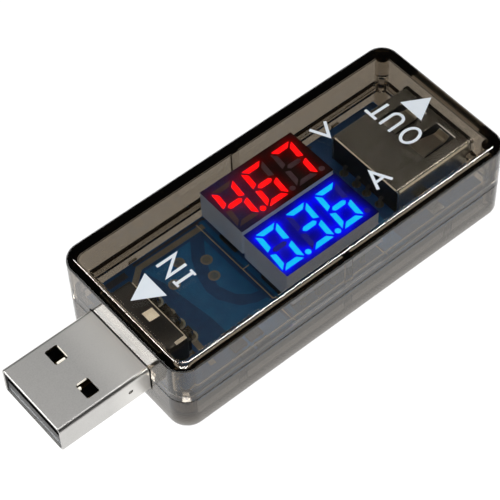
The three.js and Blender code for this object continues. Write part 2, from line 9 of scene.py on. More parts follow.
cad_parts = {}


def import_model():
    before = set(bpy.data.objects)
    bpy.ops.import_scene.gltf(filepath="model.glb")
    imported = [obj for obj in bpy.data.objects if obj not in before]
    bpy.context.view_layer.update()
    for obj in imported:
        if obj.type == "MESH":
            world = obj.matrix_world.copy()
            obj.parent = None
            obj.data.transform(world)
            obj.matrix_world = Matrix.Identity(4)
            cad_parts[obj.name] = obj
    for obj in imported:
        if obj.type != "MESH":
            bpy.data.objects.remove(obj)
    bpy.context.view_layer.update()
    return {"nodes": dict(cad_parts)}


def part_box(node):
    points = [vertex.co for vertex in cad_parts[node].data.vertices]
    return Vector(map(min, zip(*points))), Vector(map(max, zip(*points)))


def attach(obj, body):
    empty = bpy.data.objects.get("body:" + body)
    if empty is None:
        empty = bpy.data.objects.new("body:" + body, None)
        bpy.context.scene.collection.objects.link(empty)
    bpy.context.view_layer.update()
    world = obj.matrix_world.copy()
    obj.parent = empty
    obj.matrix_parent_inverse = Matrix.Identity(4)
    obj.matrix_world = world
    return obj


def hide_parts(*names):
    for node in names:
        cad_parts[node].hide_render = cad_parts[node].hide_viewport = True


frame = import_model()

MM = 0.001
FRONT_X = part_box("bottom_shell")[0].x  # the housing's front wall, where lengths along X start


def in_housing(node):
    """A CAD node's lowest and highest corners in millimetres from the housing's front wall."""
    low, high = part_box(node)
    shift = Vector((FRONT_X, 0, 0))
    return (low - shift) / MM, (high - shift) / MM


# ---- sizes, in millimetres, x from the housing's front wall, y from its middle, z from its underside

HOUSE_HIGH = in_housing("bottom_shell")[1]
LENGTH = HOUSE_HIGH.x
HALF_WIDTH = HOUSE_HIGH.y
TOP_Z = in_housing("top_shell")[1].z
PRINT_DEPTH = 0.02
COVER_TOP = TOP_Z - PRINT_DEPTH
WALL = 1.4
CORNER = 2.75
SEAM_Z = 5.65
SEAM_GAP = 0.06
CHAMFER = 0.06
LIP = {"thickness": 0.6, "height": 0.8, "clearance": 0.05, "ledge": 0.8, "below": 0.1}
POST = {"from_end": 2.0, "from_centre": 10.2, "radius": 1.0, "pin": 0.45, "pin_top": 8.0, "hole": 0.52,
        "hole_top": 8.3}
RIB = {"half_length": 0.6, "proud": 0.35, "in_wall": 0.3}
SUPPORT = {"radius": 1.25, "x": (13, 38), "y": (8, -8), "gap": 0.03}
RIM = {"inset": 1.15, "drop": 0.95, "turn": 0.87, "glint": 0.14, "loop": 0.025}
CEILING_FILLET = 0.5
FOOT_RADIUS = 0.5
ROOTED = 0.2  # how far a post, rib or support runs into the wall it grows from

BOARD_LOW, BOARD_HIGH = in_housing("main_board")
BOARD_TOP = BOARD_HIGH.z

USB_Z = 5.4
SHEET = 0.3
PLUG = {"width": 12.0, "height": 4.5, "corner": 0.6, "mouth": in_housing("plug_shell")[0].x, "inner": 6.2}
SOCKET = {"width": 13.1, "height": 5.7, "corner": 0.6, "rear": 40.7, "front": 54.7}
WINDOW = {"from_mouth": 5.4, "length": 1.9, "width": 2.5, "y": 3.2}
PLUG_PIN_X = 8.2
PIN_Y = (3.5, 1.0, -1.0, -3.5)
SPRING_GLINT_X = (51.2, 51.35)  # between these x the socket's springs turn from dull to a painted highlight at their tips
TONGUE_SHADE_FROM = 4.1  # the height on the plug's tongue above which it is painted near black, a painted shade

# ---- mesh helpers


def to_scene(point):
    """A point in the housing's millimetres as one in the scene's metres."""
    return (point[0] * MM + FRONT_X, point[1] * MM, point[2] * MM)


def mesh_object(name, verts, faces):
    mesh = bpy.data.meshes.new(name)
    mesh.from_pydata([to_scene(v) for v in verts], [], faces)
    bm = bmesh.new()
    bm.from_mesh(mesh)
    bmesh.ops.recalc_face_normals(bm, faces=bm.faces)
    bm.to_mesh(mesh)
    bm.free()
    obj = bpy.data.objects.new(name, mesh)
    bpy.context.scene.collection.objects.link(obj)
    return obj


def loft(rings, closed=False):
    """Vertices and faces through rings with the same number of points: capped, or closed on itself."""
    count = len(rings[0])
    verts = [p for ring in rings for p in ring]
    faces = []
    pairs = len(rings) if closed else len(rings) - 1
    for r in range(pairs):
        a, b = r * count, (r + 1) % len(rings) * count
        for i in range(count):
            j = (i + 1) % count
            faces.append((a + i, a + j, b + j, b + i))
    if not closed:
        faces.append(tuple(reversed(range(count))))
        faces.append(tuple(range(len(verts) - count, len(verts))))
    return verts, faces


def joined(parts):
    """Several (vertices, faces) as one."""
    verts, faces = [], []
    for part_verts, part_faces in parts:
        start = len(verts)
        verts += part_verts
        faces += [tuple(i + start for i in f) for f in part_faces]
    return verts, faces


def round_rect(x, y, width, height, radius, steps=6):
    """Points of a rectangle with round corners, counter-clockwise."""
    points = []
    for k, (sx, sy) in enumerate([(1, -1), (1, 1), (-1, 1), (-1, -1)]):
        cx, cy = x + sx * (width / 2 - radius), y + sy * (height / 2 - radius)
        for i in range(steps + 1):
            angle = (k - 1) * pi / 2 + i / steps * pi / 2
            points.append((cx + radius * cos(angle), cy + radius * sin(angle)))
    return points


def circle(x, y, radius, steps=24):
    angles = [2 * pi * i / steps for i in range(steps)]
    return [(x + radius * cos(a), y + radius * sin(a)) for a in angles]


def quarter(steps, share=1.0):
    """Angles from 0 to a share of a right angle."""
    return [i / steps * share * pi / 2 for i in range(steps + 1)]


def inset(points, amount):
    """A counter-clockwise outline moved inwards by amount, with mitred corners."""
    out = []
    for i, p in enumerate(points):
        here = Vector(p)
        before = (here - Vector(points[i - 1])).normalized()
        after = (Vector(points[(i + 1) % len(points)]) - here).normalized()
        n1, n2 = Vector((-before.y, before.x)), Vector((-after.y, after.x))
        n = (n1 + n2).normalized()
        moved = here + n * (amount / max(n.dot(n1), 0.3))
        out.append((moved.x, moved.y))
    return out


def flat(a, b, c):
    return (a, b, c)


def across(a, b, c):
    """An outline in Y and Z, deep along X."""
    return (c, a, b)


def sideways(a, b, c):
    """An outline in X and Z, deep along Y."""
    return (a, c, b)


def prism(points, low, high, edge=0.0, turn=flat):
    """An outline made solid from low to high, with its edges cut off by edge."""
    if edge:
        small = inset(points, edge)
        levels = [(small, low), (points, low + edge), (points, high - edge), (small, high)]
    else:
        levels = [(points, low), (points, high)]
    return loft([[turn(a, b, level) for a, b in ring] for ring, level in levels])


def box(x0, x1, y0, y1, z0, z1, edge=0.05, radius=0.08, steps=2):
    outline = round_rect((x0 + x1) / 2, (y0 + y1) / 2, x1 - x0, y1 - y0, radius, steps)
    return prism(outline, z0, z1, edge)


def stroke(points, width):
    """The outline of a line of some width through points, with mitred bends."""
    left, right = [], []
    middle = [Vector(p) for p in points]
    for i, p in enumerate(middle):
        into = (p - middle[i - 1]).normalized() if i else (middle[1] - p).normalized()
        out = (middle[i + 1] - p).normalized() if i < len(middle) - 1 else into
        n1, n2 = Vector((-into.y, into.x)), Vector((-out.y, out.x))
        n = (n1 + n2).normalized()
        reach = n * (width / 2 / max(n.dot(n1), 0.35))
        left.append(tuple(p + reach))
        right.append(tuple(p - reach))
    return right + left[::-1]


def arc(x, y, radius, start, end, steps, squeeze=1.0):
    """Points of a circle's arc, or of an ellipse's when squeezed along Y."""
    angles = [radians(start + (end - start) * i / steps) for i in range(steps + 1)]
    return [(x + radius * cos(a), y + radius * squeeze * sin(a)) for a in angles]


def rounded(points, radius, steps=3):
    """An outline with its corners rounded."""
    out = []
    for i, p in enumerate(points):
        here = Vector(p)
        before, after = Vector(points[i - 1]), Vector(points[(i + 1) % len(points)])
        start = here + (before - here).normalized() * radius
        end = here + (after - here).normalized() * radius
        for k in range(steps + 1):
            t = k / steps
            out.append(tuple(start * (1 - t) ** 2 + here * (2 * t * (1 - t)) + end * t ** 2))
    return out


def apply_modifiers(obj):
    old = obj.data
    graph = bpy.context.evaluated_depsgraph_get()
    mesh = bpy.data.meshes.new_from_object(obj.evaluated_get(graph))
    obj.modifiers.clear()
    obj.data = mesh
    bpy.data.meshes.remove(old)


def boolean(obj, tools, operation):
    """Joins tools to obj or cuts them from it. Each tool is (vertices, faces)."""
    for tool in tools:
        other = mesh_object("tool", *tool)
        modifier = obj.modifiers.new("cut", "BOOLEAN")
        modifier.operation = operation
        modifier.solver = "EXACT"
        modifier.object = other
        apply_modifiers(obj)
        mesh = other.data
        bpy.data.objects.remove(other)
        bpy.data.meshes.remove(mesh)


def smooth(obj, angle=32):
    """Smooth shading, with edges sharper than angle kept and flat faces kept flat."""
    bm = bmesh.new()
    bm.from_mesh(obj.data)
    for face in bm.faces:
        face.smooth = True
    for edge in bm.edges:
        edge.smooth = len(edge.link_faces) == 2 and edge.calc_face_angle(0) < radians(angle)
    bm.to_mesh(obj.data)
    bm.free()
    weighted = obj.modifiers.new("normals", "WEIGHTED_NORMAL")
    weighted.keep_sharp = True
    weighted.weight = 80
    return obj


def soften(obj, width, angle):
    """Small round edges of a width in millimetres, where faces meet at more than angle."""
    bevel = obj.modifiers.new("edges", "BEVEL")
    bevel.width = width * MM
    bevel.segments = 2
    bevel.limit_method = "ANGLE"
    bevel.angle_limit = radians(angle)
    bevel.use_clamp_overlap = True
    bevel.harden_normals = False
    return obj


def finish_piece(obj, material, stands_for=()):
    """Gives a piece its look and the housing as its body, and hides the CAD nodes it stands for."""
    obj.data.materials.clear()
    obj.data.materials.append(material)
    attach(obj, "housing")
    if stands_for:
        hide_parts(*stands_for)
    return obj


def piece(name, shape, material, stands_for=()):
    finish_piece(smooth(mesh_object(name, *shape)), material, stands_for)


# ---- material helpers


class Graph:
    """A material with short ways to add and link its nodes."""

    def __init__(self, name, **settings):
        self.material = bpy.data.materials.new(name)
        self.material.use_nodes = True
        self.tree = self.material.node_tree
        self.shader = self.tree.nodes["Principled BSDF"]
        self.output = self.tree.nodes["Material Output"]
        self.put(self.shader, settings)
        self.place = self.add("ShaderNodeTexCoord").outputs["Object"]

    def put(self, node, values):
        for key, value in values.items():
            socket = node.inputs[key if isinstance(key, int) else key.replace("_", " ")]
            if isinstance(value, bpy.types.NodeSocket):
                self.tree.links.new(value, socket)
            elif isinstance(value, tuple) and len(value) == 3 and socket.type == "RGBA":
                socket.default_value = (*value, 1)
            else:
                socket.default_value = value

    def add(self, kind, attributes=None, **values):
        node = self.tree.nodes.new(kind)
        for key, value in (attributes or {}).items():
            setattr(node, key, value)
        self.put(node, values)
        return node

    def noise(self, size, detail=3.0, stretch=(1, 1, 1)):
        """Noise with features of about size millimetres, longer along an axis with a stretch over 1."""
        scale = tuple(1 / (size * MM * s) for s in stretch)
        place = self.add("ShaderNodeMapping", Vector=self.place, Scale=scale)
        node = self.add("ShaderNodeTexNoise", Vector=place.outputs[0], Scale=1.0, Detail=detail)
        return node.outputs["Fac"]

    def ramp(self, value, low, high, to_low=0.0, to_high=1.0):
        return self.add("ShaderNodeMapRange", Value=value, From_Min=low, From_Max=high, To_Min=to_low,
                        To_Max=to_high).outputs[0]

    def blend(self, factor, first, second):
        node = self.add("ShaderNodeMix", {"data_type": "RGBA"})
        self.put(node, {0: factor, 6: first, 7: second})
        return node.outputs[2]

    def mottle(self, noise, first, second):
        """Two colours in the soft patches of a noise."""
        return self.blend(self.ramp(noise, 0.35, 0.7), first, second)

    def place_along(self, axis):
        return self.add("ShaderNodeSeparateXYZ", Vector=self.place).outputs[axis]

    def beyond(self, x0, x1):
        """0 up to x0 and 1 from x1 on, in millimetres along the housing."""
        return self.ramp(self.place_along("X"), to_scene((x0, 0, 0))[0], to_scene((x1, 0, 0))[0])

    def bump(self, height, strength, distance):
        """Relief from a height, distance millimetres deep."""
        node = self.add("ShaderNodeBump", Height=height, Strength=strength, Distance=distance * MM)
        return node.outputs[0]

    def finish(self, **values):
        self.put(self.shader, values)
        return self.material


def smoked_plastic():
    g = Graph("smoked_plastic", Base_Color=(1, 1, 1), IOR=1.53, Transmission_Weight=1.0)
    absorption = g.add("ShaderNodeVolumeAbsorption", Color=(0.256, 0.17, 0.04), Density=640.0)
    g.tree.links.new(absorption.outputs[0], g.output.inputs["Volume"])
    smears = g.ramp(g.noise(3.5, 5.0, (1, 1.6, 1)), 0.45, 0.75, 0.004, 0.02)
    ripple = g.bump(g.noise(9.0, 1.0), 0.01, 0.01)
    return g.finish(Roughness=smears, Normal=ripple)


def steel(name, colour, dark, rough, colour_and_painted_light_bands=(), metallic=1.0):
    """Rolled sheet. Each band is (from x, to x, colour): beyond it the steel takes that colour. On the
    contacts that is another plating; on the plug and the springs it is painted highlight and shade.
    """
    g = Graph(name, Metallic=metallic)
    cloud = g.noise(2.5, 4.0)
    speck = g.noise(0.2, 2.0)
    tone = g.mottle(cloud, colour, dark)
    tone = g.blend(g.ramp(speck, 0.4, 0.75, 0.0, 0.35), tone, tuple(c * 0.75 for c in dark))
    for x0, x1, shade in colour_and_painted_light_bands:
        tone = g.blend(g.beyond(x0, x1), tone, shade)
    rolled = g.bump(g.noise(0.12, 2.0, (6, 1, 1)), 0.05, 0.004)
    return g.finish(Base_Color=tone, Roughness=g.ramp(cloud, 0.3, 0.7, rough, rough + 0.03), Normal=rolled)


def resin(name, colour, shade, rough, grain=0.06, depth=0.012, glow=(0.0, 0.0, 0.0)):
    """Moulded plastic, lacquer, ink or tin. The glow is painted light: light of its own in place of the
    light and reflections that fall on it.
    """
    g = Graph(name, Emission_Color=glow, Emission_Strength=1.0 if any(glow) else 0.0)
    cloud = g.noise(1.6, 4.0)
    texture = g.bump(g.noise(grain, 3.0), 0.5, depth)
    return g.finish(Base_Color=g.mottle(cloud, colour, shade),
                    Roughness=g.ramp(cloud, 0.3, 0.7, rough, rough + 0.12), Normal=texture)


def tongue_resin():
    """The plug's tongue: pale below, and near black above TONGUE_SHADE_FROM, a painted shade."""
    g = Graph("tongue_resin", Roughness=0.42)
    pale = g.mottle(g.noise(1.6, 4.0), (0.36, 0.39, 0.42), (0.31, 0.34, 0.37))
    painted_shade = g.ramp(g.place_along("Z"), (TONGUE_SHADE_FROM - 0.05) * MM, (TONGUE_SHADE_FROM + 0.05) * MM)
    tone = g.blend(painted_shade, pale, (0.012, 0.013, 0.015))
    return g.finish(Base_Color=tone, Normal=g.bump(g.noise(0.06), 0.5, 0.012))


def solder_mask():
    """Blue lacquer over copper, with bare glass fibre at the edges."""
    g = Graph("solder_mask", Coat_Weight=0.25, Coat_Roughness=0.15)
    weave = g.add("ShaderNodeTexWave", {"bands_direction": "X"}, Vector=g.place, Scale=1200.0,
                  Distortion=1.5, Detail=1.0).outputs["Fac"]
    cloud = g.noise(1.2, 5.0)
    tone = g.mottle(cloud, (0.03, 0.12, 0.34), (0.035, 0.15, 0.42))
    normal = g.add("ShaderNodeNewGeometry").outputs["Normal"]
    upright = g.add("ShaderNodeMath", {"operation": "ABSOLUTE"})
    g.put(upright, {0: g.add("ShaderNodeSeparateXYZ", Vector=normal).outputs["Z"]})
    at_edge = g.ramp(upright.outputs[0], 0.3, 0.7, 1.0, 0.0)
    tone = g.blend(at_edge, tone, (0.12, 0.11, 0.08))
    return g.finish(Base_Color=tone, Roughness=g.ramp(cloud, 0.3, 0.7, 0.3, 0.45),
                    Normal=g.bump(weave, 0.1, 0.01))


def lit(name, colour, strength):
    """A lit segment, a little uneven."""
    g = Graph(name, Base_Color=colour, Emission_Strength=strength, Roughness=0.4)
    cloud = g.noise(0.7, 2.0)
    glow = g.blend(g.ramp(cloud, 0.3, 0.7), colour, tuple(c * 0.85 for c in colour))
    return g.finish(Emission_Color=glow)


def display_face(name, glow, left, right, x0, x1):
    """The film on a display, with the light that leaks from its lit segments. Its colour goes from left to
    right between x0 and x1: from a bluish painted reflection to the film's own dark colour."""
    g = Graph(name, Roughness=0.28, Emission_Strength=1.0)
    leak = g.add("ShaderNodeAttribute", {"attribute_name": "leak"}).outputs["Fac"]
    speck = g.noise(0.25, 3.0)
    painted_reflection_tint = g.blend(g.beyond(x0, x1), left, right)
    tone = g.blend(g.ramp(speck, 0.3, 0.7, 0.0, 0.5), painted_reflection_tint, tuple(c * 0.5 for c in right))
    return g.finish(Base_Color=tone, Emission_Color=g.blend(leak, (0.0, 0.0, 0.0), glow),
                    Normal=g.bump(speck, 0.12, 0.005))


GLASS = smoked_plastic()
# The plug's steel is lighter toward the housing, a painted highlight, then near black at the wall and dark
# grey inside the housing, a painted shade.
PLUG_STEEL = steel("plug_steel", (0.58, 0.57, 0.55), (0.55, 0.54, 0.52), 0.34,
                   [(-6.5, -0.6, (0.8, 0.78, 0.74)), (-0.16, -0.1, (0.03, 0.03, 0.03)),
                    (0.9, 1.2, (0.085, 0.085, 0.085))])
SOCKET_STEEL = steel("socket_steel", (0.68, 0.71, 0.71), (0.65, 0.67, 0.67), 0.24, (), 0.82)
# The springs' tips are painted bright, a painted highlight.
SPRING_STEEL = steel("spring_steel", (0.62, 0.61, 0.57), (0.6, 0.58, 0.54), 0.3,
                     [(*SPRING_GLINT_X, (0.98, 0.92, 0.8))], 0.7)
GOLD = steel("contact_gold", (0.83, 0.62, 0.3), (0.72, 0.5, 0.2), 0.24, [(3.0, 4.0, (0.5, 0.49, 0.45))])
TONGUE_RESIN = tongue_resin()
BLACK_RESIN = resin("black_resin", (0.012, 0.013, 0.016), (0.022, 0.023, 0.027), 0.4)
# The display cases glow a little: painted light in place of reflections.
WHITE_RESIN = resin("display_white", (0.74, 0.84, 0.95), (0.76, 0.8, 0.86), 0.34, glow=(0.03, 0.05, 0.095))
BROWN_CERAMIC = resin("capacitor_ceramic", (0.32, 0.2, 0.1), (0.26, 0.16, 0.08), 0.45, 0.04)
BLACK_CERAMIC = resin("resistor_ceramic", (0.02, 0.02, 0.024), (0.035, 0.035, 0.04), 0.35, 0.05)
CARRIER = resin("display_carrier", (0.02, 0.06, 0.035), (0.03, 0.08, 0.045), 0.35)
INK = resin("legend_ink", (0.88, 0.94, 1.0), (0.84, 0.91, 0.98), 0.5, 0.03, 0.004)
MASK = solder_mask()
COPPER_MASK = resin("masked_copper", (0.03, 0.24, 0.66), (0.024, 0.2, 0.57), 0.3)
BARE_MASK = resin("masked_board", (0.08, 0.1, 0.16), (0.065, 0.08, 0.13), 0.35)
TINNED = resin("tinned_track", (0.36, 0.36, 0.34), (0.31, 0.31, 0.3), 0.3)
PIN_RING = resin("pin_ring", (0.55, 0.55, 0.5), (0.45, 0.44, 0.4), 0.3)
PIN_TIN = resin("dull_pin", (0.12, 0.12, 0.12), (0.2, 0.19, 0.17), 0.3)
# Cut edges and strips glow: a painted glint.
BARE_TIN_GLINT = resin("bare_tin_painted_glint", (0.9, 0.87, 0.8), (0.84, 0.8, 0.72), 0.3, glow=(0.35, 0.32, 0.26))
# The plug's tab glows, with darker patches: a painted highlight.
TAB_GLINT = resin("tin_tab_painted_glint", (0.95, 0.92, 0.85), (0.5, 0.46, 0.36), 0.25, 0.5, 0.1,
                   glow=(0.9, 0.82, 0.66))
PAD = resin("dull_pad", (0.16, 0.24, 0.32), (0.26, 0.27, 0.26), 0.4, 0.2)
SILK = resin("silkscreen", (0.8, 0.72, 0.56), (0.7, 0.62, 0.48), 0.55)
LIT_RED = lit("lit_red", (1.0, 0.0, 0.002), 3.2)
LIT_BLUE = lit("lit_blue", (0.0, 0.5, 1.0), 2.3)
RED_UNLIT = resin("unlit_red_segment", (0.2, 0.15, 0.2), (0.17, 0.12, 0.17), 0.45)
# The unlit blue segments glow faintly: painted light.
BLUE_UNLIT = resin("unlit_blue_segment", (0.03, 0.03, 0.13), (0.025, 0.025, 0.1), 0.45,
                   glow=(0.01, 0.01, 0.4))

# ---- housing


def housing_ring(offset, z):
    """The housing's outline at a height, moved outwards by offset."""
    length, width = LENGTH + 2 * offset, 2 * (HALF_WIDTH + offset)
    return [(x, y, z) for x, y in round_rect(LENGTH / 2, 0, length, width, CORNER + offset, 12)]


def post_pair(x):
    return [(x, y) for y in (POST["from_centre"], -POST["from_centre"])]


PINNED_POSTS = post_pair(LENGTH - POST["from_end"])
ALL_POSTS = post_pair(POST["from_end"]) + PINNED_POSTS


def rod(x, y, radius, z0, z1, edge=0.08):
    return prism(circle(x, y, radius), z0, z1, edge)


def mirrored(y0, y1):
    """The two spans from y0 to y1 and from -y1 to -y0."""
    return [tuple(sorted((s * y0, s * y1))) for s in (1, -1)]


def wall_ribs(places, z0, z1):
    """Ribs that stand a little proud of both long walls."""
    inside, reach = HALF_WIDTH - WALL, RIB["half_length"]
    spans = mirrored(inside - RIB["proud"], inside + RIB["in_wall"])
    return [box(x - reach, x + reach, *span, z0, z1) for x in places for span in spans]


def opening(part, gap, x0, x1):
    """What is cut from an end wall to let a sleeve through."""
    outline = round_rect(0, USB_Z, part["width"] + gap, part["height"] + gap, part["corner"])
    return prism(outline, x0, x1, turn=across)


def openings():
    return [opening(PLUG, 0.36, -1, WALL + 1), opening(SOCKET, 0.2, LENGTH - WALL - 1, LENGTH + 1)]


def top_cover():
    """The upper half: ceiling fillet, wall with its rebate, rounded rim, and the facet that glints."""
    bottom = SEAM_Z + SEAM_GAP / 2
    ceiling = TOP_Z - WALL
    rebate = SEAM_Z + LIP["height"] + LIP["clearance"]
    inner = LIP["thickness"] + LIP["clearance"] - WALL
    profile = []
    for a in quarter(6):
        profile.append((-WALL - CEILING_FILLET * (1 - sin(a)), ceiling - CEILING_FILLET * (1 - cos(a))))
    profile += [(-WALL, rebate), (inner, rebate), (inner, bottom), (-CHAMFER, bottom), (0, bottom + CHAMFER)]
    top = COVER_TOP - 0.002
    for a in quarter(12, RIM["turn"]):
        profile.append((-RIM["inset"] * (1 - cos(a)), top - RIM["drop"] * (1 - sin(a))))
    start_offset, start_z = profile[-1]
    rise = COVER_TOP - start_z
    for share in (RIM["loop"] / RIM["glint"], 1 - RIM["loop"] / RIM["glint"], 1):
        profile.append((start_offset - RIM["glint"] * share, start_z + rise * share))
    profile.append((start_offset - RIM["glint"] - RIM["loop"], COVER_TOP))
    obj = mesh_object("top_cover", *loft([housing_ring(*p) for p in profile]))
    bosses = [rod(x, y, POST["radius"], bottom + 0.02, ceiling + 0.4) for x, y in PINNED_POSTS]
    holes = [rod(x, y, POST["hole"], bottom - 1, POST["hole_top"], 0.2) for x, y in PINNED_POSTS]
    boolean(obj, bosses + wall_ribs([LENGTH / 2], rebate + 0.02, ceiling + 0.3), "UNION")
    boolean(obj, holes + openings(), "DIFFERENCE")
    return finish_piece(smooth(obj), GLASS, stands_for=("top_shell",))


def bottom_tray():
    """The lower half: floor, wall, the lip with its ledge, and the rounded foot."""
    top = SEAM_Z - SEAM_GAP / 2
    lip_top = SEAM_Z + LIP["height"]
    lip_outside = LIP["thickness"] - WALL
    inside = -WALL
    ledge, ledge_bottom = inside - LIP["ledge"], SEAM_Z - LIP["below"]
    profile = [(inside - 0.4, WALL), (inside - 0.12, WALL + 0.08), (inside, WALL + 0.4),
               (inside, ledge_bottom), (ledge, ledge_bottom), (ledge, lip_top - 0.08),
               (ledge + 0.08, lip_top), (lip_outside - 0.1, lip_top), (lip_outside, lip_top - 0.1),
               (lip_outside, top), (-CHAMFER, top), (0, top - CHAMFER)]
    profile += [(-FOOT_RADIUS * (1 - cos(a)), FOOT_RADIUS * (1 - sin(a))) for a in quarter(8)]
    obj = mesh_object("bottom_tray", *loft([housing_ring(*p) for p in profile]))
    room_for_bosses = [rod(x, y, POST["radius"] + 0.1, SEAM_Z - 0.2, lip_top + 1) for x, y in PINNED_POSTS]
    boolean(obj, room_for_bosses, "DIFFERENCE")
    root = WALL - ROOTED
    posts = [rod(x, y, POST["radius"], root, top - 0.02) for x, y in ALL_POSTS]
    pins = [rod(x, y, POST["pin"], WALL, POST["pin_top"], 0.15) for x, y in PINNED_POSTS]
    supports = [rod(x, y, SUPPORT["radius"], root, BOARD_LOW.z - SUPPORT["gap"])
                for x in SUPPORT["x"] for y in SUPPORT["y"]]
    ribs = wall_ribs([10, LENGTH / 2, 45], root, BOARD_TOP + 0.1)
    boolean(obj, posts + pins + supports + ribs, "UNION")
    boolean(obj, openings(), "DIFFERENCE")
    return finish_piece(smooth(obj), GLASS, stands_for=("bottom_shell",))


TOP_COVER = top_cover()
BOTTOM_TRAY = bottom_tray()

# ---- plug and socket


def sheet_tube(name, part, x0, x1, rim=0.1):
    """A rolled sheet-metal sleeve with round corners and softened ends."""
    rings = []
    inner_rim = rim * 0.6
    for offset, x in [(0, x0 + rim), (-rim * 0.3, x0 + rim * 0.3), (-rim, x0), (-SHEET + inner_rim, x0),
                      (-SHEET, x0 + inner_rim), (-SHEET, x1 - inner_rim), (-SHEET + inner_rim, x1),
                      (-rim, x1), (0, x1 - rim)]:
        width, height = part["width"] + 2 * offset, part["height"] + 2 * offset
        outline = round_rect(0, USB_Z, width, height, max(part["corner"] + offset, 0.15), 8)
        rings.append([across(a, b, x) for a, b in outline])
    return mesh_object(name, *loft(rings, closed=True))


def plug_sleeve():
    """The plug's shell, with its latch windows, its seam below, a dimple, two board legs and a lance."""
    obj = sheet_tube("plug_sleeve", PLUG, PLUG["mouth"], PLUG["inner"], 0.15)
    window_x = PLUG["mouth"] + WINDOW["from_mouth"] + WINDOW["length"] / 2
    cuts = [prism(round_rect(window_x, y, WINDOW["length"], WINDOW["width"], 0.3), 0, 10)
            for y in (WINDOW["y"], -WINDOW["y"])]
    lance_hole = round_rect(4.95, 0, 1.9, 1.8, 0.15)
    cuts.append(prism(lance_hole, USB_Z + 1, 10))
    line, catch = -0.03, -0.5
    seam = [(-20, line), (-9.5, line), (-9.3, catch), (-7.9, catch), (-7.7, line), (-3.5, line),
            (-3.3, catch), (-1.9, catch), (-1.7, line), (10, line)]
    cuts.append(prism(stroke(seam, 0.05), -1, USB_Z - 1))
    near = -PLUG["width"] / 2
    dimple = circle(-3.07, 5.65, 0.34, 20)
    cuts.append(prism(dimple, near - 0.1, near + 0.2, turn=sideways))
    boolean(obj, cuts, "DIFFERENCE")
    legs = [box(3.6, 5.0, *span, 1.9, USB_Z - 0.5)
            for span in mirrored(PLUG["width"] / 2 - SHEET, PLUG["width"] / 2)]
    lance_top = USB_Z + PLUG["height"] / 2 - SHEET / 2
    bend = stroke([(3.6, lance_top), (4.1, lance_top), (5.6, lance_top - 0.7)], 0.27)
    lance = prism(bend, -0.7, 0.7, 0.04, turn=sideways)
    boolean(obj, legs + [lance], "UNION")
    apply_modifiers(soften(obj, 0.035, 50))
    return finish_piece(smooth(obj), PLUG_STEEL, stands_for=("plug_shell",))


def cut_edge(*reach):
    """A thin strip where the sheet was cut, bright with a painted glint."""
    return box(*reach, 0.005, 0.03)


def plug_edges():
    """Cut edges of the plug's sleeve and windows, strips inside its windows, and its sprung tab, all with a
    painted glint.
    """
    top = USB_Z + PLUG["height"] / 2
    proud = top + 0.012
    inner, near = PLUG["inner"], -PLUG["width"] / 2
    tab = [(4.15, top - 0.06), (5.75, top - 0.3), (5.75, top - 0.16), (4.15, top + 0.01)]
    x0 = PLUG["mouth"] + WINDOW["from_mouth"]
    x1 = x0 + WINDOW["length"]
    glints = [cut_edge(x1 - 0.08, x1 + 0.015, 2.2, 4.2, top - 0.22, top + 0.01),
              box(x0 + 0.4, x0 + 1.6, 2.14, 2.5, top - 0.62, top - 0.34, 0.02, 0.05),
              cut_edge(x0 + 0.25, x1 - 0.25, -1.99, -1.9, top - 0.25, top + 0.01),
              box(x0 + 0.06, x0 + 0.5, -2.5, -2.2, top - 0.7, top - 0.32, 0.02, 0.05)]
    piece("window_glints", joined(glints), BARE_TIN_GLINT)
    piece("plug_tab", prism(tab, -0.8, 0.8, 0.03, turn=sideways), TAB_GLINT)
    piece("plug_edge_glints", joined([cut_edge(4.5, inner - 0.05, near + 0.3, near + 0.8, top - 0.1, proud),
                                     cut_edge(inner - 0.09, inner + 0.012, -5.3, 5.3, top - 0.25, proud)]),
          BARE_TIN_GLINT)


def socket_edges():
    """The cut edge at the socket's back and a strip along its near upper corner, both with a painted glint.
    """
    rear, top = SOCKET["rear"], USB_Z + SOCKET["height"] / 2
    back = cut_edge(rear - 0.012, rear + 0.1, -5.9, 5.9, top - 0.2, top + 0.01)
    round_off = SOCKET["corner"] * (1 - sqrt(0.5))
    y, z = -SOCKET["width"] / 2 + round_off, top - round_off
    reach, under, over = 0.1, 0.04, 0.01
    corner = [(y - reach + under, z - reach - under), (y + reach + under, z + reach - under),
              (y + reach - over, z + reach + over), (y - reach - over, z - reach + over)]
    side = prism(corner, rear + 0.3, SOCKET["front"] - 1.6, turn=across)
    piece("socket_edge_glints", joined([back, side]), BARE_TIN_GLINT)


def socket_sleeve():
    """The socket's shell, with its spring windows, its back cut free of the board, and two board wings."""
    obj = sheet_tube("socket_sleeve", SOCKET, SOCKET["rear"], SOCKET["front"])
    windows = [prism(round_rect(50.05, y, 5.7, 3.5, 0.25), -1, 12) for y in (2.75, -2.75)]
    over_board = box(30, 42.15, -14, 14, 0, BOARD_TOP + 0.03)
    boolean(obj, [*windows, over_board], "DIFFERENCE")
    half = SOCKET["width"] / 2
    boolean(obj, [box(44.6, 46.6, *span, 3.5, 3.8) for span in mirrored(half - SHEET, half + 1.9)], "UNION")
    apply_modifiers(soften(obj, 0.035, 50))
    finish_piece(smooth(obj), SOCKET_STEEL, stands_for=("socket_shell",))


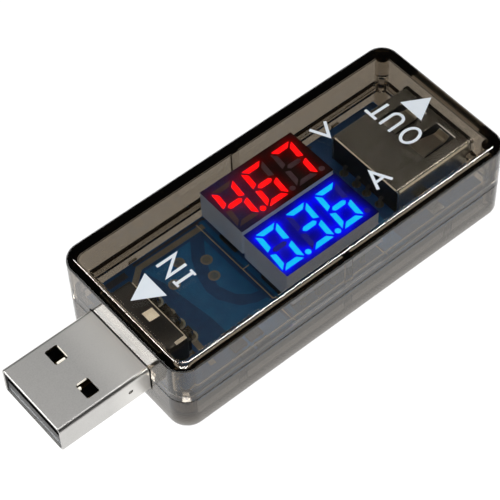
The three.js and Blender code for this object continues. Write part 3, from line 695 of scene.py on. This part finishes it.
def socket_rear():
    """The black back of the socket, with its four pins bent down into the board."""
    rear = in_housing("socket_insulator")[0].x
    half = SOCKET["width"] / 2 - SHEET - 0.1
    back = box(rear - 0.24, rear - 0.02, -half, half, BOARD_TOP + 0.15,
               USB_Z + SOCKET["height"] / 2 - SHEET - 0.06)
    piece("socket_back", back, BLACK_RESIN)
    pin = stroke([(rear - 0.05, 4.6), (40.5, 4.6), (40.28, 4.35), (40.25, 1.95)], 0.2)
    for i, y in enumerate(PIN_Y, start=1):
        shape = prism(pin, y - 0.24, y + 0.24, 0.03, turn=sideways)
        piece(f"socket_pin_{i}", shape, PIN_TIN, stands_for=(f"socket_terminal_{i}",))


PLUG_SLEEVE = plug_sleeve()
socket_sleeve()
socket_rear()
plug_edges()
socket_edges()

# ---- displays

DIGIT = {"pitch": 4.95, "first": -5.35, "y": -0.1, "half_width": 1.77, "half_height": 3.3}
SEGMENT = {"slant": 0.115, "stroke": 0.74, "gap": 0.24, "round": 0.12}
POINT = {"x": 2.15, "y": -2.95, "radius": 0.41}
SHOWN = {"volt_display": ("bcfg.", "acdefg", "abc"), "amp_display": ("abcdef.", "abcdg.", "acdefg")}


def segment_outlines(x0, y0):
    """The seven segments of a digit, by letter: trapezoids with the longer edge outside."""
    w, h = DIGIT["half_width"], DIGIT["half_height"]
    s, k = SEGMENT["stroke"], SEGMENT["gap"]
    top = [(-w + k, h), (-w + s + k, h - s), (w - s - k, h - s), (w - k, h)]
    upper = [(w, h - k), (w - s, h - s - k), (w - s, s / 2 + k), (w, k)]
    middle = [(-w + s / 2 + k, 0), (-w + s + k, -s / 2), (w - s - k, -s / 2), (w - s / 2 - k, 0),
              (w - s - k, s / 2), (-w + s + k, s / 2)]
    shapes = {"a": top, "g": middle}
    for letter, sx, sy in (("b", 1, 1), ("c", 1, -1), ("e", -1, -1), ("f", -1, 1)):
        shapes[letter] = [(sx * x, sy * y) for x, y in upper]
    shapes["d"] = [(x, -y) for x, y in top]
    placed = {}
    for letter, points in shapes.items():
        turn = sum(a[0] * b[1] - b[0] * a[1] for a, b in zip(points, points[1:] + points[:1]))
        ordered = points if turn > 0 else points[::-1]
        leaned = [(x0 + x + SEGMENT["slant"] * y, y0 + y) for x, y in ordered]
        placed[letter] = rounded(leaned, SEGMENT["round"])
    return placed


def segments(outlines, top, rise):
    """Thin bars that stand proud of the display's face by rise."""
    return joined([prism(outline, top - 0.02, top + rise, 0.005) for outline in outlines])


def display(name, lit_material, unlit_material, glow, leak, left, right):
    """One display: its case, its lit and unlit segments, and its film."""
    low, high = in_housing(name + "_case")
    middle = (low + high) / 2
    top = high.z
    lit_outlines, dark_outlines = [], []
    for digit, shown in enumerate(SHOWN[name]):
        x0, y0 = middle.x + DIGIT["first"] + digit * DIGIT["pitch"], middle.y + DIGIT["y"]
        for letter, outline in segment_outlines(x0, y0).items():
            (lit_outlines if letter in shown else dark_outlines).append(outline)
        dot = circle(x0 + POINT["x"], y0 + POINT["y"], POINT["radius"], 20)
        (lit_outlines if "." in shown else dark_outlines).append(dot)
    obj = mesh_object(name + "_body", *box(low.x, high.x, low.y, high.y, low.z, top - 0.03, 0.06, 0.25, 5))
    wall, face = 0.4, 0.7
    hollow = box(low.x + wall, high.x - wall, low.y + wall, high.y - wall, low.z - 1, top - face)
    boolean(obj, [hollow], "DIFFERENCE")
    finish_piece(smooth(obj), WHITE_RESIN, stands_for=(name + "_case",))
    piece(name + "_lit_segments", segments(lit_outlines, top, 0.01), lit_material,
          stands_for=(name + "_diffuser",))
    piece(name + "_unlit_segments", segments(dark_outlines, top, 0.008), unlit_material)
    width = high.x - low.x
    tinted = display_face(name + "_face", glow, left, right, low.x + 0.25 * width, low.x + 0.55 * width)
    display_film(name + "_film", low, high, lit_outlines, leak, tinted)


def display_film(name, low, high, lit_outlines, spread, material):
    """The film on a display, as a grid that holds how much light leaks through at each of its points."""
    step, margin, thickness = 0.17, 0.02, 0.028
    nx, ny = round((high.x - low.x) / step), round((high.y - low.y) / step)
    share, fade = spread
    verts, leak = [], []
    spines = [spine(outline) for outline in lit_outlines]
    for j in range(ny + 1):
        for i in range(nx + 1):
            x = low.x + margin + (high.x - low.x - 2 * margin) * i / nx
            y = low.y + margin + (high.y - low.y - 2 * margin) * j / ny
            verts.append((x, y, high.z - 0.001))
            reach = [max(distance(Vector((x, y)), a, b) - SEGMENT["stroke"] / 2, 0) for a, b in spines]
            leak.append(min(1.0, sum(share * exp(-d / fade) for d in reach)))
    corners = [j * (nx + 1) + i for j in range(ny) for i in range(nx)]
    faces = [(k, k + 1, k + nx + 2, k + nx + 1) for k in corners]
    obj = mesh_object(name, verts, faces)
    attribute = obj.data.attributes.new("leak", "FLOAT", "POINT")
    attribute.data.foreach_set("value", leak)
    solid = obj.modifiers.new("thickness", "SOLIDIFY")
    solid.thickness = thickness * MM
    solid.offset = -1
    apply_modifiers(obj)
    finish_piece(smooth(obj), material)


def spine(outline):
    """The two ends of the line along the middle of a segment, or of a point."""
    points = [Vector(p) for p in outline]
    middle = sum(points, Vector((0, 0))) / len(points)
    far = max(points, key=lambda p: (p - middle).length)
    along = (far - middle) * (1 - SEGMENT["stroke"] / 2 / (far - middle).length)
    return middle - along, middle + along


def distance(p, a, b):
    """From a point to the line between a and b."""
    along = b - a
    t = max(0.0, min(1.0, (p - a).dot(along) / max(along.length_squared, 1e-9)))
    return (p - a - along * t).length


# left is a bluish painted reflection on each face; right is the face's own dark colour.
display("volt_display", LIT_RED, RED_UNLIT, glow=(0.3, 0.0, 0.0), leak=(0.6, 0.42),
        left=(0.05, 0.05, 0.28), right=(0.012, 0.002, 0.003))
display("amp_display", LIT_BLUE, BLUE_UNLIT, glow=(0.0, 0.0, 2.4), leak=(0.8, 0.5),
        left=(0.01, 0.008, 0.06), right=(0.003, 0.002, 0.006))

# ---- legends


def printed(name, outlines):
    """Ink on the top face. Strokes that cross are printed a little lower each, so none share a plane."""
    gap, step = 0.002, 0.003
    parts = [prism(o, COVER_TOP + gap, TOP_Z - gap - step * i) for i, o in enumerate(outlines)]
    piece(name, joined(parts), INK)


LINE = 0.43
printed("in_arrow", [[(2.5, 0.35), (6.35, -1.95), (6.4, 2.5)]])
printed("out_arrow", [[(52.5, 0.17), (48.85, 2.25), (48.75, -1.9)]])
printed("in_letters", [
    stroke([(11.1, 0.2), (8.2, 0.2), (11.0, 2.3), (8.1, 2.3)], LINE),
    stroke([(8.1, -1.33), (11.1, -1.33)], LINE),
    stroke([(8.25, -0.8), (8.25, -1.86)], LINE * 0.8),
    stroke([(10.95, -0.8), (10.95, -1.86)], LINE * 0.8),
])
printed("volt_letter", [stroke([(36.78, 6.52), (37.98, 4.02), (39.25, 6.32)], LINE)])
printed("amp_letter", [stroke([(36.83, -6.68), (37.98, -3.9), (39.35, -6.62)], LINE),
                       stroke([(37.2, -5.65), (38.95, -5.6)], LINE * 0.9)])
OUT_TOP, OUT_BASE = 44.5, 47.45
O_REACH = (OUT_BASE - OUT_TOP) / 2
printed("out_letters", [
    stroke([(OUT_TOP, 3.1), (OUT_BASE, 3.02)], LINE),
    stroke([(OUT_TOP, 2.15), (OUT_TOP, 4.3)], LINE),
    stroke([(OUT_TOP - 0.2, 1.3)] + arc(46.6, 0.45, 0.85, 90, -90, 12) + [(OUT_TOP - 0.2, -0.4)], LINE),
    stroke(arc(OUT_TOP + O_REACH, -2.8, O_REACH, 0, 180, 16, 0.68), LINE),
    stroke(arc(OUT_TOP + O_REACH, -2.8, O_REACH, 180, 360, 16, 0.68), LINE),
])

# ---- what is printed and soldered on the board

POUR_TOP = BOARD_TOP + 0.02
TRACK_TOP = BOARD_TOP + 0.035
SILK_TOP = BOARD_TOP + 0.06
TEST_PADS = [(17.3, 4.45), (16.45, 1.85), (14.3, 6.45), (11.7, 4.1)]


def on_board(name, outlines, material, top=TRACK_TOP):
    """Flat shapes on the board's upper face."""
    piece(name, joined([prism(o, BOARD_TOP + 0.003, top) for o in outlines]), material)


def solder_dome(x, y, radius, height):
    """A flattened blob of solder with its skirt on the board."""
    levels = [(radius * cos(a), BOARD_TOP + 0.004 + height * sin(a)) for a in quarter(5, 0.92)]
    return loft([[(px, py, level) for px, py in circle(x, y, r, 20)] for r, level in levels])


def ring_pad(x, y, outer, inner):
    """A flat copper ring."""
    low, high = BOARD_TOP + 0.004, TRACK_TOP + 0.012
    sections = [(outer, low), (outer, high), (inner, high), (inner, low)]
    return loft([[(px, py, z) for px, py in circle(x, y, r, 24)] for r, z in sections], closed=True)


on_board("copper_pour", [
    [(12.2, -9.6), (19.4, -9.6), (19.4, -5.2), (17.9, -5.0), (16.0, -4.0), (14.4, -1.4), (14.1, 0.6),
     (14.7, 3.2), (15.9, 5.8), (17.6, 8.2), (12.2, 8.3), (9.9, 8.3), (10.9, 5.0), (12.0, -3.0)],
    [(20.3, -9.6), (20.3, 9.9), (21.0, 9.9), (21.0, -9.6)][::-1],
    [(19.1, 7.2), (17.4, 4.8), (16.3, 2.4), (15.8, 0.2), (16.7, -2.2), (18.2, -3.5), (19.2, -3.7)],
    [(35.9, -9.7), (39.0, -9.7), (39.0, 9.7), (35.9, 9.7)],
], COPPER_MASK, POUR_TOP)
on_board("edge_pour", [
    [(4.2, 8.9), (8.0, 8.9), (8.0, 9.9), (4.2, 9.9)][::-1],
    [(9.5, 9.75), (40.0, 9.65), (40.0, 10.2), (9.5, 10.2)],
], BARE_MASK, POUR_TOP)
on_board("feed_track", [
    stroke([(7.66, 7.3), (9.85, 9.15), (20.5, 9.0)], 0.85),
    stroke([(8.15, -4.1), (8.0, -7.4)], 0.85),
], TINNED)
on_board("silk_lines", [
    stroke([(19.85, -9.6), (19.85, 9.7)], 0.14),
    stroke([(19.95, 0.2), (20.9, 0.2)], 0.12),
    stroke([(35.6, -5.2), (35.6, -9.4)], 0.12),
], SILK, SILK_TOP)
piece("pin_pads", joined([ring_pad(PLUG_PIN_X, y, 0.98, 0.7) for y in PIN_Y]), PIN_RING)
piece("test_pads", joined([ring_pad(x, y, 0.82, 0.55) for x, y in TEST_PADS]), TINNED)
piece("pad_solder", joined([solder_dome(x, y, 0.6, 0.05) for x, y in TEST_PADS]), PAD)

# ---- carried-over nodes


def refine(node, material, width=0.04):
    """A CAD node carried over, with its material and small round edges."""
    obj = frame["nodes"][node]
    obj.data.materials.clear()
    obj.data.materials.append(material)
    return soften(obj, width, 40)


refine("main_board", MASK, 0.03)
plug_inside = [refine("plug_insulator", TONGUE_RESIN)]
refine("socket_insulator", BLACK_RESIN)
for i in range(1, 5):
    plug_inside.append(refine(f"plug_contact_{i}", GOLD))
    refine(f"socket_contact_{i}", GOLD)
    refine(f"resistor_{i}", BLACK_CERAMIC)
for level in ("top", "bottom"):
    for side in ("left", "right"):
        refine(f"socket_spring_{level}_{side}", SPRING_STEEL)
for name in ("volt", "amp"):
    refine(f"{name}_display_circuit", CARRIER)
refine("controller_chip", BLACK_RESIN)
refine("voltage_regulator", BLACK_RESIN)
refine("shunt_resistor", BLACK_CERAMIC)
refine("input_capacitor", BROWN_CERAMIC)
refine("output_capacitor", BROWN_CERAMIC)

# ---- floor, lights and camera

SHADE = 0.3  # how much of the floor's glow is left in the painted shadow under the housing


def floor():
    """White paper that glows enough to show white, except for a painted shadow under the housing."""
    bpy.ops.mesh.primitive_grid_add(x_subdivisions=2, y_subdivisions=2, size=4)
    obj = bpy.context.object
    obj.name = "floor"
    g = Graph("floor_paper", Roughness=0.9, Emission_Strength=0.95)
    fibre = g.blend(g.ramp(g.noise(0.8, 3.0), 0.3, 0.7), (0.2, 0.2, 0.2), (0.17, 0.17, 0.17))
    middle = Vector(to_scene((LENGTH / 2, 0, 0)))
    straight = Vector((LENGTH / 2 - CORNER, HALF_WIDTH - CORNER, 0)) * MM
    place = g.add("ShaderNodeVectorMath", {"operation": "SUBTRACT"})
    g.put(place, {0: g.place, 1: middle})
    for operation, value in (("ABSOLUTE", None), ("SUBTRACT", straight), ("MAXIMUM", Vector((0, 0, 0)))):
        step = g.add("ShaderNodeVectorMath", {"operation": operation})
        g.put(step, {0: place.outputs[0]})
        if value is not None:
            g.put(step, {1: value})
        place = step
    outside = g.add("ShaderNodeVectorMath", {"operation": "LENGTH"})
    g.put(outside, {0: place.outputs[0]})
    # The painted shadow: inside the housing's outline the glow drops to SHADE.
    clear = g.ramp(outside.outputs["Value"], (CORNER - 0.55) * MM, (CORNER - 0.02) * MM)
    glow = g.blend(clear, (SHADE,) * 3, (1.0,) * 3)
    obj.data.materials.append(g.finish(Base_Color=fibre, Emission_Color=glow))


def area_light(name, place, size, radiance, turn=None, only_on=(), not_on=(), shaded_by=()):
    """A rectangular light, in metres. It points at the origin, or with a turn in degrees straight down."""
    light = bpy.data.lights.new(name, "AREA")
    light.shape = "RECTANGLE"
    light.size, light.size_y = size
    light.energy = radiance * pi * size[0] * size[1]
    obj = bpy.data.objects.new(name, light)
    obj.location = place
    if turn is not None:
        obj.rotation_euler = (0, 0, radians(turn))
    else:
        obj.rotation_euler = (-Vector(place)).to_track_quat("-Z", "Y").to_euler()
    bpy.context.scene.collection.objects.link(obj)
    if only_on or not_on:
        lit_objects = bpy.data.collections.new(name + "_set")
        for other in (*only_on, *not_on):
            lit_objects.objects.link(other)
        obj.light_linking.receiver_collection = lit_objects
        for entry in lit_objects.collection_objects:
            entry.light_linking.link_state = "EXCLUDE" if not_on else "INCLUDE"
    if shaded_by:
        casters = bpy.data.collections.new(name + "_casters")
        for other in shaded_by:
            casters.objects.link(other)
        obj.light_linking.blocker_collection = casters


# aim in millimetres of the scene, angles in degrees, distance and lens in millimetres
CAMERA = {"aim": (0.78, 0.52, 6.5), "heading": 37.947, "drop": 53.122, "roll": 2.591, "distance": 244.06,
          "lens": 137.09}


def camera():
    data = bpy.data.cameras.new("camera")
    data.lens = CAMERA["lens"]
    data.sensor_width = 36
    data.clip_start = 0.01
    obj = bpy.data.objects.new("camera", data)
    heading, drop = radians(CAMERA["heading"]), radians(CAMERA["drop"])
    forward = Vector((sin(heading) * cos(drop), cos(heading) * cos(drop), -sin(drop)))
    turn = forward.to_track_quat("-Z", "Y").to_matrix().to_4x4()
    turn = turn @ Matrix.Rotation(radians(-CAMERA["roll"]), 4, "Z")
    place = (Vector(CAMERA["aim"]) - forward * CAMERA["distance"]) * MM
    obj.matrix_world = Matrix.Translation(place) @ turn
    bpy.context.scene.collection.objects.link(obj)
    bpy.context.scene.camera = obj


def world():
    bpy.context.scene.world = bpy.data.worlds.new("studio")
    bpy.context.scene.world.use_nodes = True
    background = bpy.context.scene.world.node_tree.nodes["Background"]
    background.inputs["Color"].default_value = (1, 0.99, 0.97, 1)
    background.inputs["Strength"].default_value = 0.02


floor()
world()
housing = (TOP_COVER, BOTTOM_TRAY)
sleeve = (PLUG_SLEEVE,)
plug_parts = (PLUG_SLEEVE, *plug_inside)
area_light("front_left", (-0.185, 0.237, 0.4), (0.24, 0.24), 6.2, only_on=sleeve)
area_light("over_plug", (0.185, 0.237, 0.4), (0.4, 0.4), 0.34, only_on=sleeve, shaded_by=plug_parts)
area_light("plug_corner", (0.2, 0.04, 0.5), (0.34, 0.14), 3.5, turn=0, only_on=sleeve)
area_light("behind_camera", (-0.25, -0.3, 0.5), (0.3, 0.3), 15.0, not_on=plug_parts)
area_light("near_rim", (0.229, 0.082, 0.5), (0.26, 0.055), 34, turn=0, only_on=housing)
area_light("front_rim", (0.0, 0.28, 0.5), (0.045, 0.2), 15, turn=0, only_on=housing)
area_light("corner_rim", (0.058, 0.148, 0.5), (0.2, 0.06), 16, turn=-49, only_on=housing)
camera()
bpy.context.scene.view_settings.view_transform = "Standard"
